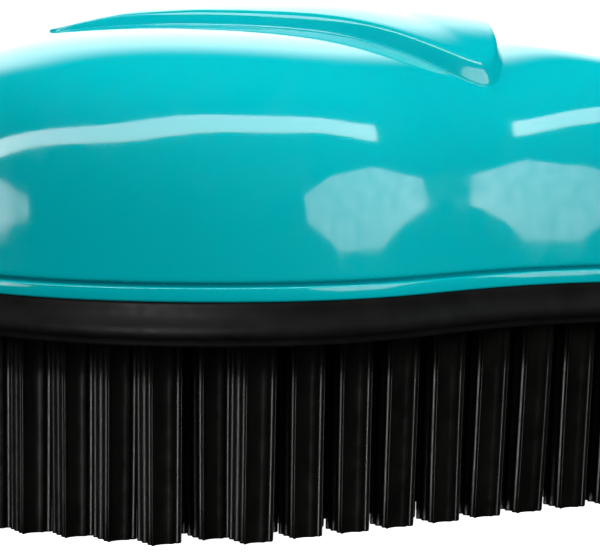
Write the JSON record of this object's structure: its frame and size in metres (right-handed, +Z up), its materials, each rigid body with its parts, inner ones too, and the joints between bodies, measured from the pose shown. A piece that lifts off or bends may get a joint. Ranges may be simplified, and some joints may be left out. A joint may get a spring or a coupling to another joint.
{
  "type": "rubber curry brush",
  "caption": "Waisted palm-sized grooming brush: glossy domed handle with a raised palm rest over a rubber pad of long staggered square bristles.",
  "frame": {"origin": "under the middle of the waist, on the plane of the bristle tips, where the brush stands", "axes": "+X along the brush, away from the lobe with the palm rest; +Y across it; +Z up through the handle"},
  "size_m": [0.119, 0.0758, 0.0582],
  "materials": {
    "shell_plastic": "high-gloss moulded turquoise plastic",
    "tray_plastic": "glossy moulded turquoise plastic",
    "pad_rubber": "satin black moulded rubber",
    "bristle_rubber": "black moulded rubber, fluted",
    "screw_steel": "zinc-plated steel"
  },
  "bodies": {
    "root": {"handle_shell": "shell_plastic", "base_tray": "tray_plastic", "rubber_pad": "pad_rubber", "case_screws": "screw_steel", "bristle_row_01": "bristle_rubber", "bristle_row_02": "bristle_rubber", "bristle_row_03": "bristle_rubber", "bristle_row_04": "bristle_rubber", "bristle_row_05": "bristle_rubber", "bristle_row_06": "bristle_rubber", "bristle_row_07": "bristle_rubber", "bristle_row_08": "bristle_rubber", "bristle_row_09": "bristle_rubber", "bristle_row_10": "bristle_rubber", "bristle_row_11": "bristle_rubber", "bristle_row_12": "bristle_rubber", "bristle_row_13": "bristle_rubber", "bristle_row_14": "bristle_rubber"}
  },
  "joints": []
}
